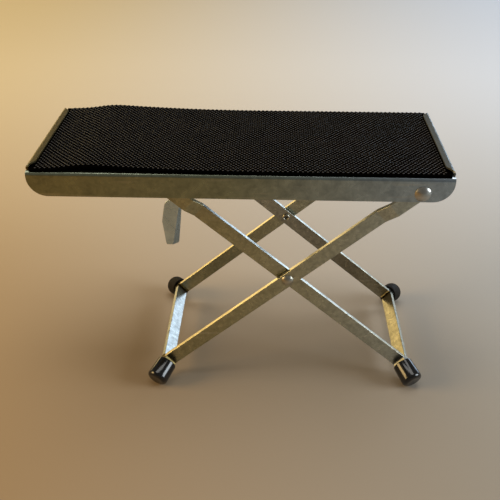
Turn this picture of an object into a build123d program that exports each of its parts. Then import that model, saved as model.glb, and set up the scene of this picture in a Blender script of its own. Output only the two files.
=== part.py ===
from build123d import *
import math
import os

# Folding footrest for a guitar player: a sheet-metal footplate with a rubber mat, carried by two
# crossed U-shaped legs bent from flat steel strip, with a notched rail and a sprung release lever
# that set its height. Lengths are in millimetres and angles in degrees.
# Frame: +X along the footplate towards the fixed leg pivots, +Y across it, +Z up. The origin is
# on the floor under the middle of the footplate.

# Footplate: a tray of thin sheet with its long sides turned down and its ends folded over the mat
plate_length = 270.0
plate_width = 109.0
sheet = 1.2
flange_height = 16.8
flange_bend_radius = 2.8
flange_corner_radius = 13.0
hem_band_width = 5.0
hem_end_gap = 3.3
hem_corner_length = 4.8
hem_corner_width = 7.0

# Rubber mat, which has crept up into a low wave near one end
mat_thickness = 2.4
mat_pinched_thickness = 2.1
mat_pinch_clearance = 0.3
mat_clearance = 0.1
mat_edge_inset = 0.9
wave_height = 3.0
wave_start_inset = 5.0
wave_rise_length = 32.0
wave_fall_length = 92.0
wave_crest_radius = 80.0

# Legs: flat strip, bent into a U in one plane
strip_width = 10.0
strip_thickness = 3.0
upper_arm_length = 109.0
lower_arm_length = 113.6
leg_angle = 40.5
pivot_end_inset = 19.6
pivot_drop = 11.0
leg_flange_inset = 6.0
leg_gap = 1.0
joggle_start = 78.0
joggle_angle = 22.0
inner_joggle_offset = 3.3
strip_bend_radius = 3.0

# Ears: the strip is doubled back on itself at each lower corner to hold a foot cap
ear_angle = 55.0
ear_run = 12.0
ear_slit = 0.3

# Foot caps: moulded ferrules, a little wider towards the floor
cap_length = 16.0
cap_rim_radius = 6.9
cap_base_radius = 7.4
cap_base_chamfer = 1.0
cap_rim_chamfer = 0.4
cap_end_wall = 2.7
cap_fit = 0.08

# Rivets, washers and their holes
running_clearance = 0.05
face_clearance = 0.05
seat_clearance = 0.02
dome_steps = (35, 65)
pivot_shank_radius = 2.5
pivot_head_radius = 5.2
pivot_head_height = 1.7
pivot_tail_radius = 4.2
pivot_tail_height = 1.1
pivot_tail_chamfer = 0.3
pivot_washer_radius = 6.0
pivot_washer_thickness = 0.8
crossing_shank_radius = 2.0
crossing_head_radius = 4.0
crossing_head_height = 1.9
crossing_roll_radius = 2.9
crossing_roll_height = 1.2
crossing_roll_chamfer = 0.5
crossing_bore_radius = 1.1
crossing_bore_depth = 3.0
crossing_washer_radius = 4.6

# Cross rod, which joins the tops of the inner leg and slides under the footplate
rod_radius = 3.0
rod_nut_radius = 5.0
rod_nut_thickness = 1.6
rod_nut_rim = 0.5
rod_end_stand = 0.6
spacer_radius = 4.5

# Guide rails: hat sections under the tray with a notched slot along the crown
rail_sheet = 1.2
rail_inner_width = 16.0
rail_depth = 4.7
rail_foot_width = 5.0
rail_bend_radius = 1.5
rail_end_margin = 9.0
slot_width = 11.0
notch_width = 15.4
notch_length = 4.0
notch_pitch = 13.5
notches_above = 3
notches_below = 3
folded_angle = 4.0
rail_rivet_radius = 1.5
rail_rivet_head_radius = 2.4
rail_rivet_head_height = 0.9
rail_rivets_per_foot = 2

# Slide shoes: moulded blocks that hang the cross rod in the rails
shoe_length = 17.0
shoe_body_width = 9.6
shoe_play = 0.3
shoe_body_below_rod = 4.5
shoe_round = 1.5

# Release lever: a folded bracket round the near shoe, with a tooth and a finger tongue
lever_sheet = 1.5
lever_cheek_play = 0.3
lever_leg_play = 0.4
lever_hub_radius = 4.4
tooth_reach = 14.0
tooth_width = 14.4
tooth_clearance = 0.3
tooth_depth = 3.0
engaged_angle = 7.0
arm_end_height = 2.6
web_depth_below_rod = 4.2
tongue_neck_reach = 6.2
tongue_neck_drop = 13.4
tongue_shoulder_reach = 0.4
tongue_shoulder_drop = 16.4
tongue_shoulder_round = 3.5
tongue_bulge_reach = -1.9
tongue_bulge_drop = 30.0
tongue_crease_reach = 10.4
tongue_crease_drop = 15.0
tongue_tip_reach = 0.2
tongue_tip_width = 4.4
tongue_tip_drop = 48.0
tongue_tip_round = 1.2
tongue_fold_angle = 48.0
tongue_wing_top_width = 2.4
tongue_wing_tip_width = 5.6

# Leaf spring that lifts the lever's tooth into a notch
leaf_thickness = 0.5
leaf_width = 7.0
leaf_reach = 17.5
leaf_grip = 8.0
leaf_curl_radius = 1.0
leaf_curl_angle = 80.0
leaf_rivet_radius = 1.2
leaf_rivet_head_radius = 2.2
leaf_rivet_head_height = 0.8
leaf_rivet_depth = 2.5

overrun = 1.0

# Scissor geometry that follows from the sizes above
sine = math.sin(math.radians(leg_angle))
cosine = math.cos(math.radians(leg_angle))
pivot_x = plate_length / 2 - pivot_end_inset
crossing_x = pivot_x - upper_arm_length * cosine
rod_x = pivot_x - 2 * upper_arm_length * cosine

hairpin_radius = strip_thickness / 2 + ear_slit / 2
cap_tip_reach = hairpin_radius + strip_thickness / 2 + cap_end_wall
cap_rim_reach = cap_length - cap_tip_reach

flange_inner = plate_width / 2 - sheet
outer_leg_y = plate_width / 2 - leg_flange_inset - strip_thickness / 2
outer_leg_top_y = flange_inner - pivot_washer_thickness - 2 * face_clearance - strip_thickness / 2
outer_joggle_offset = outer_leg_top_y - outer_leg_y
inner_leg_y = outer_leg_y - strip_thickness - leg_gap
inner_leg_top_y = inner_leg_y + inner_joggle_offset


def walk(start, heading, moves):
    # Follows a folding plan of ("run", length) and ("bend", angle, radius) moves in a plane and
    # returns every station as a point with its heading, the start included.
    stations = [(Vector(*start), heading)]
    for move in moves:
        point, angle = stations[-1]
        forward = Vector(1, 0).rotate(Axis.Z, angle)
        if move[0] == "run":
            stations.append((point + forward * move[1], angle))
        else:
            turn, radius = move[1], move[2]
            side = 1 if turn > 0 else -1
            centre = point + forward.rotate(Axis.Z, 90 * side) * radius
            stations.append((centre + (point - centre).rotate(Axis.Z, turn), angle + turn))
    return stations


def band_edges(stations, moves, offset):
    # One long side of a folded strip, at the given offset to the left of its centre line.
    edges = []
    for (point, angle), (goal, goal_angle), move in zip(stations, stations[1:], moves):
        first = point + Vector(1, 0).rotate(Axis.Z, angle + 90) * offset
        last = goal + Vector(1, 0).rotate(Axis.Z, goal_angle + 90) * offset
        if move[0] == "run":
            edges.append(Line(first, last))
        else:
            side = 1 if move[1] > 0 else -1
            centre = point + Vector(1, 0).rotate(Axis.Z, angle + 90 * side) * move[2]
            edges.append(ThreePointArc(first, centre + (first - centre).rotate(Axis.Z, move[1] / 2), last))
    return edges


def folded_band(start, heading, moves, thickness):
    # Edge-on view of a flat strip folded by the given plan, as a face.
    stations = walk(start, heading, moves)
    left = band_edges(stations, moves, thickness / 2)
    right = band_edges(stations, moves, -thickness / 2)
    ends = [Line(left[0] @ 0, right[0] @ 0), Line(left[-1] @ 1, right[-1] @ 1)]
    return make_face(left + right + ends)


def across(sketch, low_y, high_y):
    # Extrudes a sketch drawn in X and Z between two places along Y.
    plane = Plane(origin=(0, high_y, 0), x_dir=(1, 0, 0), z_dir=(0, -1, 0))
    return extrude(plane * sketch, high_y - low_y)


def along(sketch, low_x, high_x):
    # Extrudes a sketch drawn in Y and Z between two places along X.
    plane = Plane(origin=(low_x, 0, 0), x_dir=(0, 1, 0), z_dir=(1, 0, 0))
    return extrude(plane * sketch, high_x - low_x)


def block(low, high):
    # Box between two opposite corners.
    size = Vector(*high) - Vector(*low)
    return Pos(*low) * Box(size.X, size.Y, size.Z, align=(Align.MIN, Align.MIN, Align.MIN))


def pin_y(radius, x, low_y, high_y, z):
    # Round bar along Y.
    return Pos(x, (low_y + high_y) / 2, z) * Rot(90, 0, 0) * Cylinder(radius, high_y - low_y)


def leg_moves(side_y, joggle_offset):
    # Folding plan of half a leg, from the middle of the floor strip to the end at the top.
    # In the leg's plane, the first axis runs down the leg from the crossing and the second across.
    ear = [
        ("bend", ear_angle - 90, strip_bend_radius),
        ("run", ear_run),
        ("bend", 180, hairpin_radius),
        ("run", ear_run),
        ("bend", -ear_angle, strip_bend_radius),
    ]
    corner = walk((lower_arm_length, 0), 90, ear)[-1][0]
    floor_run = side_y - corner.Y
    slope = math.radians(joggle_angle)
    joggle_run = (joggle_offset - 2 * strip_bend_radius * (1 - math.cos(slope))) / math.sin(slope)
    side_run = corner.X + joggle_start
    joggle_length = 2 * strip_bend_radius * math.sin(slope) + joggle_run * math.cos(slope)
    top_run = upper_arm_length - joggle_start - joggle_length
    joggle = [
        ("run", side_run),
        ("bend", -joggle_angle, strip_bend_radius),
        ("run", joggle_run),
        ("bend", joggle_angle, strip_bend_radius),
        ("run", top_run),
    ]
    return [("run", floor_run)] + ear + joggle


def leg_solid(side_y, joggle_offset, top_hole_radius, crossing_hole_radius):
    # Whole U-shaped leg in its own plane, with rounded eyes and its rivet holes.
    half = leg_moves(side_y, joggle_offset)
    plan = half[:0:-1] + [("run", 2 * half[0][1])] + half[1:]
    top_y = side_y + joggle_offset
    outline = folded_band((-upper_arm_length, -top_y), 0, plan, strip_thickness)
    leg = extrude(outline, strip_width / 2, both=True)
    for side in (-1, 1):
        inner, outer = sorted((side * (top_y - strip_thickness / 2), side * (top_y + strip_thickness / 2)))
        leg += pin_y(strip_width / 2, -upper_arm_length, inner, outer, 0)
    reach = plate_width / 2
    leg -= pin_y(top_hole_radius, -upper_arm_length, -reach, reach, 0)
    leg -= pin_y(crossing_hole_radius, 0, -reach, reach, 0)
    return leg


def hairpin_centre(side_y, joggle_offset):
    # Middle of the doubled ear's round end, on the far side of the leg.
    half = leg_moves(side_y, joggle_offset)
    point, heading = walk((lower_arm_length, 0), 90, half[:3])[-1]
    return point + Vector(1, 0).rotate(Axis.Z, heading + 90) * hairpin_radius


def leg_plane(side):
    # Plane of a leg: side -1 is the outer leg, which runs down to the left, and 1 the inner one.
    return Plane(
        origin=(crossing_x, 0, crossing_z),
        x_dir=(side * cosine, 0, -sine),
        z_dir=(sine, 0, side * cosine),
    )


def cap_solid():
    # Foot cap about its own axis, with its rim at zero and the pocket for the doubled ear.
    profile = make_face(
        Polyline(
            (0, 0),
            (cap_rim_radius - cap_rim_chamfer, 0),
            (cap_rim_radius, cap_rim_chamfer),
            (cap_base_radius, cap_length - cap_base_chamfer),
            (cap_base_radius - cap_base_chamfer, cap_length),
            (0, cap_length),
            close=True,
        )
    )
    cap = revolve(Plane.XZ * profile, Axis.Z)
    ear_thickness = 2 * strip_thickness + ear_slit
    pocket = extrude(Rectangle(strip_width + 2 * cap_fit, ear_thickness + 2 * cap_fit), cap_length - cap_end_wall)
    return cap - pocket


def foot_caps(leg_side, side_y, joggle_offset):
    # Pair of foot caps pushed onto the ears of one leg.
    centre = hairpin_centre(side_y, joggle_offset)
    ear = Vector(1, 0).rotate(Axis.Z, ear_angle)
    rim = centre - ear * cap_rim_reach
    cap = cap_solid()
    caps = []
    for y_side in (-1, 1):
        seat = Plane(
            origin=(rim.X, y_side * rim.Y, 0),
            x_dir=(0, 0, 1),
            z_dir=(ear.X, y_side * ear.Y, 0),
        )
        caps.append(leg_plane(leg_side).location * (seat.location * cap))
    return caps


def corner_height():
    # Height of the leg's lower corner above the floor, where the caps' widest rings just touch it.
    centre = hairpin_centre(outer_leg_y, outer_joggle_offset)
    dip = math.asin(math.cos(math.radians(ear_angle)) * sine)
    along_ear = cap_tip_reach - cap_base_chamfer
    drop = (centre.X - lower_arm_length) * sine + along_ear * math.sin(dip)
    return drop + cap_base_radius * math.cos(dip)


crossing_z = corner_height() + lower_arm_length * sine
pivot_z = crossing_z + upper_arm_length * sine
plate_top = pivot_z + pivot_drop
plate_under = plate_top - sheet
rail_crown_under = plate_under - rail_depth

hem_gap = mat_pinched_thickness + 2 * mat_clearance
hem_outer_radius = hem_gap / 2 + sheet
hem_half_width = plate_width / 2 - hem_end_gap

lever_outer_y = -(inner_leg_y - strip_thickness / 2 - lever_leg_play)
shoe_y = lever_outer_y + lever_sheet + lever_cheek_play + shoe_body_width / 2
lever_inner_y = 2 * shoe_y - lever_outer_y
tooth_top = rail_crown_under - tooth_clearance - pivot_z
engaged_tooth_x = (tooth_reach - lever_sheet / 2) * math.cos(math.radians(engaged_angle))
engaged_tooth_x -= tooth_top * math.sin(math.radians(engaged_angle))


def rod_place(angle):
    # Place of the cross rod along the footplate when the legs stand at the given angle.
    return pivot_x - 2 * upper_arm_length * math.cos(math.radians(angle))


highest_rod_x = rod_x + notches_above * notch_pitch
highest_angle = math.degrees(math.acos((pivot_x - highest_rod_x) / (2 * upper_arm_length)))
folded_rod_x = rod_place(folded_angle)
slot_low_x = folded_rod_x - shoe_length / 2 - shoe_play
slot_high_x = highest_rod_x + shoe_length / 2 + shoe_play
rail_low_x = slot_low_x - rail_end_margin
rail_high_x = highest_rod_x + tooth_reach + notch_length + rail_end_margin


def rail_rivet_places():
    # Rivet centres on one foot strip of one rail, along X.
    low = rail_low_x + rail_end_margin / 2
    high = rail_high_x - rail_end_margin / 2
    step = (high - low) / (rail_rivets_per_foot - 1)
    return [low + step * index for index in range(rail_rivets_per_foot)]


def rail_foot_places(side):
    # Middle of each of a rail's two foot strips, across the footplate.
    reach = rail_inner_width / 2 + rail_sheet + rail_foot_width / 2
    return [side * abs(shoe_y) - reach, side * abs(shoe_y) + reach]


def footplate_tray():
    # Pressed tray: top panel, long side flanges with round lower corners, and an end fold at each
    # short end that comes up and over the mat.
    fold_radius = flange_bend_radius - sheet / 2
    flange_run = flange_height - flange_bend_radius
    panel_run = plate_width - 2 * flange_bend_radius
    plan = [
        ("run", flange_run),
        ("bend", -90, fold_radius),
        ("run", panel_run),
        ("bend", -90, fold_radius),
        ("run", flange_run),
    ]
    start = (-plate_width / 2 + sheet / 2, plate_top - flange_height)
    section = folded_band(start, 90, plan, sheet)
    tray = along(section, -plate_length / 2, plate_length / 2)
    corners = [
        edge
        for edge in tray.edges().filter_by(Axis.Y)
        if edge.center().Z < plate_top - flange_height + sheet / 2
    ]
    tray = fillet(corners, flange_corner_radius)
    for side in (-1, 1):
        tray -= end_relief(side)
        tray += end_fold(side)
    for x in rail_rivet_places():
        for side in (-1, 1):
            for y in rail_foot_places(side):
                hole = Cylinder(rail_rivet_radius + seat_clearance, 2 * overrun + sheet)
                tray -= Pos(x, y, plate_top - sheet / 2) * hole
    hole_radius = pivot_shank_radius + seat_clearance
    tray -= pin_y(hole_radius, pivot_x, -plate_width, plate_width, pivot_z)
    return tray


def end_relief(side):
    # Strip of the top panel that is cut free so that the end can be folded.
    inner = side * (plate_length / 2 - hem_outer_radius)
    outer = side * (plate_length / 2 + overrun)
    low_x, high_x = sorted((inner, outer))
    half = plate_width / 2 - flange_bend_radius
    return block((low_x, -half, plate_under - overrun), (high_x, half, plate_top + overrun))


def end_fold(side):
    # Folded end of the top panel: half round, with a narrow band that lies over the mat.
    lap = sheet
    start = (plate_length / 2 - hem_outer_radius - lap, plate_top - sheet / 2)
    plan = [
        ("run", lap),
        ("bend", 180, hem_outer_radius - sheet / 2),
        ("run", hem_band_width - hem_outer_radius),
    ]
    fold = across(folded_band(start, 0, plan, sheet), -hem_half_width, hem_half_width)
    edge_x = plate_length / 2 - hem_band_width
    band_low = plate_top + hem_gap - mat_clearance
    for y_side in (-1, 1):
        corner = Polyline(
            (edge_x - overrun, y_side * (hem_half_width + overrun)),
            (edge_x - overrun, y_side * (hem_half_width - hem_corner_width)),
            (edge_x, y_side * (hem_half_width - hem_corner_width)),
            (edge_x + hem_corner_length, y_side * hem_half_width),
            (edge_x + hem_corner_length, y_side * (hem_half_width + overrun)),
            close=True,
        )
        fold -= Pos(0, 0, band_low) * extrude(make_face(corner), sheet + overrun)
    return fold if side > 0 else mirror(fold, Plane.YZ)


def rubber_mat():
    # Mat with its low wave, a crest that meets the flat stretches in tangent arcs. Its two ends are
    # pinched thinner where the tray is folded over them.
    rise = 2 * math.degrees(math.atan(wave_height / wave_rise_length))
    fall = 2 * math.degrees(math.atan(wave_height / wave_fall_length))
    rise_radius = wave_rise_length / math.sin(math.radians(rise)) - wave_crest_radius
    fall_radius = wave_fall_length / math.sin(math.radians(fall)) - wave_crest_radius
    end_x = plate_length / 2 - hem_outer_radius - mat_clearance
    flat_run = 2 * end_x - wave_start_inset - wave_rise_length - wave_fall_length
    plan = [
        ("run", wave_start_inset),
        ("bend", rise, rise_radius),
        ("bend", -rise - fall, wave_crest_radius),
        ("bend", fall, fall_radius),
        ("run", flat_run),
    ]
    section = folded_band((-end_x, plate_top + mat_thickness / 2), 0, plan, mat_thickness)
    half = plate_width / 2 - mat_edge_inset
    mat = across(section, -half, half)
    pinch_x = plate_length / 2 - hem_band_width - mat_pinch_clearance
    pinch_z = plate_top + mat_pinched_thickness
    for side in (-1, 1):
        low_x, high_x = sorted((side * pinch_x, side * (end_x + overrun)))
        low = (low_x, -half - overrun, pinch_z)
        mat -= block(low, (high_x, half + overrun, pinch_z + mat_thickness))
    return mat


def guide_rail(side):
    # Hat-section rail: two foot strips against the tray, two walls, and a crown with a slot whose
    # edges are notched where the lever's tooth can lock.
    wall_x = rail_inner_width / 2 + rail_sheet / 2
    fold_radius = rail_bend_radius - rail_sheet / 2
    foot_run = rail_foot_width - fold_radius + rail_sheet / 2
    wall_run = rail_depth - rail_sheet - 2 * fold_radius
    crown_run = 2 * wall_x - 2 * fold_radius
    plan = [
        ("run", foot_run),
        ("bend", -90, fold_radius),
        ("run", wall_run),
        ("bend", 90, fold_radius),
        ("run", crown_run),
        ("bend", 90, fold_radius),
        ("run", wall_run),
        ("bend", -90, fold_radius),
        ("run", foot_run),
    ]
    start = (-wall_x - fold_radius - foot_run, plate_under - rail_sheet / 2)
    rail = along(folded_band(start, 0, plan, rail_sheet), rail_low_x, rail_high_x)
    crown_low = rail_crown_under - overrun
    crown_high = rail_crown_under + rail_sheet + overrun
    slot_half = slot_width / 2
    rail -= block((slot_low_x, -slot_half, crown_low), (slot_high_x, slot_half, crown_high))
    places = [rod_x + notch_pitch * step for step in range(-notches_below, notches_above + 1)]
    for place in places + [folded_rod_x]:
        centre = place + engaged_tooth_x
        low = (centre - notch_length / 2, -notch_width / 2, crown_low)
        high = (centre + notch_length / 2, notch_width / 2, crown_high)
        rail -= block(low, high)
    rail = Pos(0, side * abs(shoe_y), 0) * rail
    for x in rail_rivet_places():
        for y in rail_foot_places(side):
            hole = Cylinder(rail_rivet_radius + seat_clearance, 2 * overrun + rail_sheet)
            rail -= Pos(x, y, plate_under - rail_sheet / 2) * hole
    return rail


def rail_rivets():
    # Rivets that hold the rails: flush under the mat, with a low head below each foot strip.
    rivets = []
    shank_length = sheet + rail_sheet + seat_clearance
    for x in rail_rivet_places():
        for side in (-1, 1):
            for y in rail_foot_places(side):
                profile = Polyline(
                    (0, 0),
                    (rail_rivet_radius, 0),
                    (rail_rivet_radius, -shank_length),
                    (rail_rivet_head_radius, -shank_length),
                    (rail_rivet_radius, -shank_length - rail_rivet_head_height),
                    (0, -shank_length - rail_rivet_head_height),
                    close=True,
                )
                rivet = revolve(Plane.XZ * make_face(profile), Axis.Z)
                rivets.append(Pos(x, y, plate_top) * rivet)
    return rivets


def side_seat(side, x, outer_y, z):
    # Seat of a rivet head on an outward face of one side, with the rivet's shank pointing inwards.
    origin = (x, side * (outer_y + face_clearance), z)
    return Plane(origin=origin, x_dir=(1, 0, 0), z_dir=(0, -side, 0)).location


def domed_rivet(head, shank, tail, tail_chamfer):
    # Solid rivet along +Z from under its domed head, with a formed tail; head, shank and tail are
    # each a radius and a length.
    head_radius, head_height = head
    shank_radius, shank_length = shank
    tail_radius, tail_height = tail
    end = shank_length + tail_height
    dome = [
        (head_radius * math.sin(math.radians(angle)), -head_height * math.cos(math.radians(angle)))
        for angle in dome_steps
    ]
    profile = Polyline(
        (0, -head_height),
        *dome,
        (head_radius, 0),
        (shank_radius, 0),
        (shank_radius, shank_length),
        (tail_radius, shank_length),
        (tail_radius, end - tail_chamfer),
        (tail_radius - tail_chamfer, end),
        (0, end),
        close=True,
    )
    return revolve(Plane.XZ * make_face(profile), Axis.Z)


def pivot_rivets():
    # On each side, the rivet through the flange and the top eye of the outer leg.
    leg_inner = outer_leg_top_y - strip_thickness / 2
    shank_length = plate_width / 2 - leg_inner + 2 * face_clearance
    rivet = domed_rivet(
        (pivot_head_radius, pivot_head_height),
        (pivot_shank_radius, shank_length),
        (pivot_tail_radius, pivot_tail_height),
        pivot_tail_chamfer,
    )
    return [side_seat(side, pivot_x, plate_width / 2, pivot_z) * rivet for side in (-1, 1)]


def washer_y(radius, hole_radius, x, low_y, high_y, z):
    # Flat washer about an axis along Y.
    hole = pin_y(hole_radius, x, low_y - overrun, high_y + overrun, z)
    return pin_y(radius, x, low_y, high_y, z) - hole


def pivot_washers():
    # One washer between each flange and the outer leg.
    washers = []
    low = flange_inner - face_clearance - pivot_washer_thickness
    high = flange_inner - face_clearance
    hole_radius = pivot_shank_radius + running_clearance
    for side in (-1, 1):
        near, far = sorted((side * low, side * high))
        washers.append(washer_y(pivot_washer_radius, hole_radius, pivot_x, near, far, pivot_z))
    return washers


def crossing_rivets():
    # On each side, the rivet where the legs cross: domed outside, rolled over and hollow inside.
    outer_face = outer_leg_y + strip_thickness / 2
    inner_face = inner_leg_y - strip_thickness / 2
    shank_length = outer_face - inner_face + 2 * face_clearance
    rivet = domed_rivet(
        (crossing_head_radius, crossing_head_height),
        (crossing_shank_radius, shank_length),
        (crossing_roll_radius, crossing_roll_height),
        crossing_roll_chamfer,
    )
    tail_end = shank_length + crossing_roll_height
    bore = Cylinder(crossing_bore_radius, 2 * crossing_bore_depth)
    rivet -= Pos(0, 0, tail_end) * bore
    return [side_seat(side, crossing_x, outer_face, crossing_z) * rivet for side in (-1, 1)]


def crossing_washers():
    # One washer between the two legs on each side.
    washers = []
    low = inner_leg_y + strip_thickness / 2 + face_clearance
    high = outer_leg_y - strip_thickness / 2 - face_clearance
    hole_radius = crossing_shank_radius + seat_clearance
    for side in (-1, 1):
        near, far = sorted((side * low, side * high))
        washers.append(washer_y(crossing_washer_radius, hole_radius, crossing_x, near, far, crossing_z))
    return washers


def outer_leg():
    # Leg that turns on the footplate's fixed pivots.
    top_hole = pivot_shank_radius + running_clearance
    crossing_hole = crossing_shank_radius + seat_clearance
    leg = leg_solid(outer_leg_y, outer_joggle_offset, top_hole, crossing_hole)
    return leg_plane(-1).location * leg


def inner_leg():
    # Leg that carries the sliding cross rod.
    top_hole = rod_radius + seat_clearance
    crossing_hole = crossing_shank_radius + running_clearance
    leg = leg_solid(inner_leg_y, inner_joggle_offset, top_hole, crossing_hole)
    return leg_plane(1).location * leg


rod_half_length = inner_leg_top_y + strip_thickness / 2 + rod_nut_thickness + rod_end_stand


def cross_rod():
    # Round rod with broken edges at both ends.
    rod = pin_y(rod_radius, rod_x, -rod_half_length, rod_half_length, pivot_z)
    return chamfer(rod.edges().filter_by(GeomType.CIRCLE), rod_end_stand)


def rod_push_nuts():
    # Dished push-on nut at each end of the rod.
    nuts = []
    seat_y = inner_leg_top_y + strip_thickness / 2 + face_clearance
    for side in (-1, 1):
        profile = Polyline(
            (rod_radius + seat_clearance, 0),
            (rod_nut_radius, 0),
            (rod_nut_radius, rod_nut_rim),
            (rod_radius + rod_nut_rim, rod_nut_thickness),
            (rod_radius + seat_clearance, rod_nut_thickness),
            close=True,
        )
        nut = revolve(Plane.XZ * make_face(profile), Axis.Z)
        seat = Plane(origin=(rod_x, side * seat_y, pivot_z), x_dir=(1, 0, 0), z_dir=(0, side, 0))
        nuts.append(seat.location * nut)
    return nuts


def rod_sleeve(low_y, high_y):
    # Spacer tube on the rod between two places.
    return washer_y(spacer_radius, rod_radius + seat_clearance, rod_x, low_y, high_y, pivot_z)


def short_spacers():
    # Short tubes that keep the lever and the far shoe off the leg's eyes.
    leg_face = inner_leg_top_y - strip_thickness / 2 - shoe_play
    near = rod_sleeve(-leg_face, lever_outer_y - lever_cheek_play)
    far = rod_sleeve(abs(shoe_y) + shoe_body_width / 2 + shoe_play, leg_face)
    return [near, far]


def long_spacer():
    # Long tube between the lever and the far shoe.
    low = lever_inner_y + lever_cheek_play
    return rod_sleeve(low, abs(shoe_y) - shoe_body_width / 2 - shoe_play)


def slide_shoe(side):
    # Shoe: a head held inside the rail, a neck through the slot, and a body on the rod.
    y = side * abs(shoe_y)
    head_half = rail_inner_width / 2 - shoe_play
    neck_half = slot_width / 2 - shoe_play
    body_half = shoe_body_width / 2
    half_length = shoe_length / 2
    head_low = rail_crown_under + rail_sheet + shoe_play / 2
    head_high = plate_under - shoe_play / 2
    body_high = rail_crown_under - shoe_play
    body_low = pivot_z - shoe_body_below_rod
    head = block((-half_length, -head_half, head_low), (half_length, head_half, head_high))
    head = fillet(head.edges().filter_by(Axis.Z), shoe_round)
    neck = block((-half_length, -neck_half, body_high), (half_length, neck_half, head_low))
    body = block((-half_length, -body_half, body_low), (half_length, body_half, body_high))
    body = fillet(body.edges().filter_by(Axis.Y).group_by(Axis.Z)[0], shoe_round)
    shoe = Pos(rod_x, y, 0) * (head + neck + body)
    bore = rod_radius + running_clearance
    shoe -= pin_y(bore, rod_x, y - rail_inner_width, y + rail_inner_width, pivot_z)
    if side < 0:
        rivet_hole = Cylinder(leaf_rivet_radius + seat_clearance, 2 * leaf_rivet_depth)
        shoe -= Pos(leaf_rivet_x, y, body_low) * rivet_hole
    return shoe


leaf_start_x = rod_x - shoe_length / 2
leaf_rivet_x = leaf_start_x + leaf_grip / 2
leaf_top = pivot_z - shoe_body_below_rod - face_clearance


def leaf_spring():
    # Leaf under the near shoe, with a curled tip below the lever's web.
    moves = [
        ("run", shoe_length / 2 + leaf_reach),
        ("bend", -leaf_curl_angle, leaf_curl_radius),
    ]
    start = (leaf_start_x, leaf_top - leaf_thickness / 2)
    section = folded_band(start, 0, moves, leaf_thickness)
    leaf = across(section, shoe_y - leaf_width / 2, shoe_y + leaf_width / 2)
    hole = Cylinder(leaf_rivet_radius + seat_clearance, 2 * overrun)
    return leaf - Pos(leaf_rivet_x, shoe_y, leaf_top) * hole


def leaf_rivet():
    # Rivet that fastens the leaf spring under the shoe.
    length = leaf_rivet_depth - seat_clearance + leaf_thickness + 2 * face_clearance
    profile = Polyline(
        (0, 0),
        (leaf_rivet_radius, 0),
        (leaf_rivet_radius, -length),
        (leaf_rivet_head_radius, -length),
        (leaf_rivet_radius, -length - leaf_rivet_head_height),
        (0, -length - leaf_rivet_head_height),
        close=True,
    )
    rivet = revolve(Plane.XZ * make_face(profile), Axis.Z)
    top = pivot_z - shoe_body_below_rod + leaf_rivet_depth - seat_clearance
    return Pos(leaf_rivet_x, shoe_y, top) * rivet


def lever_cheek():
    # Outline of one cheek of the lever, from the hub round the rod to the web on the right.
    arm = make_face(
        Polyline(
            (0, lever_hub_radius),
            (tooth_reach, arm_end_height),
            (tooth_reach, -web_depth_below_rod),
            (0, -lever_hub_radius),
            close=True,
        )
    )
    return Circle(lever_hub_radius) + arm


def tongue_outline():
    # Neck and front panel of the finger tongue below the rod, with the rod at the origin.
    panel = make_face(
        Polyline(
            (-lever_hub_radius, 0),
            (lever_hub_radius, 0),
            (tongue_crease_reach, -tongue_crease_drop),
            (tongue_tip_reach + tongue_tip_width, -tongue_tip_drop),
            (tongue_tip_reach, -tongue_tip_drop),
            (tongue_bulge_reach, -tongue_bulge_drop),
            (tongue_shoulder_reach, -tongue_shoulder_drop),
            (tongue_neck_reach, -tongue_neck_drop),
            close=True,
        )
    )
    shoulder = panel.vertices().sort_by_distance((tongue_shoulder_reach, -tongue_shoulder_drop))[0]
    panel = fillet(shoulder, tongue_shoulder_round)
    tip = panel.vertices().sort_by_distance((tongue_tip_reach, -tongue_tip_drop))[0]
    return fillet(tip, tongue_tip_round)


def tongue_wing():
    # Side panel folded back from the front panel along its slanting edge.
    top = Vector(tongue_crease_reach, 0, -tongue_crease_drop)
    tip = Vector(tongue_tip_reach + tongue_tip_width, 0, -tongue_tip_drop)
    down = (tip - top).normalized()
    back = Vector(0, 1, 0)
    fold = math.radians(tongue_fold_angle)
    wing_dir = down.cross(back) * math.cos(fold) + back * math.sin(fold)
    length = (tip - top).length
    plane = Plane(origin=top, x_dir=down, z_dir=down.cross(wing_dir))
    outline = make_face(
        Polyline(
            (0, 0),
            (0, tongue_wing_top_width),
            (length, tongue_wing_tip_width),
            (length, 0),
            close=True,
        )
    )
    corner = outline.vertices().sort_by_distance((length, tongue_wing_tip_width))[0]
    return extrude(plane * fillet(corner, tongue_tip_round), -lever_sheet)


def release_lever():
    # Lever: two cheeks on the rod, a web with the tooth, and the tongue below the near cheek.
    outer_high = lever_outer_y + lever_sheet
    inner_low = lever_inner_y - lever_sheet
    web_low_x = tooth_reach - lever_sheet
    lever = across(lever_cheek(), lever_outer_y, outer_high)
    lever += across(lever_cheek(), inner_low, lever_inner_y)
    lever += block(
        (web_low_x, lever_outer_y, -web_depth_below_rod),
        (tooth_reach, lever_inner_y, arm_end_height),
    )
    lever += block(
        (web_low_x, shoe_y - tooth_width / 2, tooth_top - tooth_depth),
        (tooth_reach, shoe_y + tooth_width / 2, tooth_top),
    )
    lever += across(tongue_outline(), lever_outer_y, outer_high)
    lever += Pos(0, lever_outer_y, 0) * tongue_wing()
    lever = Pos(rod_x, 0, pivot_z) * lever
    hole = pin_y(rod_radius + running_clearance, rod_x, 2 * lever_outer_y, 0, pivot_z)
    return lever - hole


def write_part(name, shape):
    # Writes one node; a list of solids becomes one compound.
    if isinstance(shape, list):
        shape = Compound(children=[solid for item in shape for solid in item.solids()])
    export_step(shape, os.path.join("parts", name + ".step"))


os.makedirs("parts", exist_ok=True)

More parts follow.
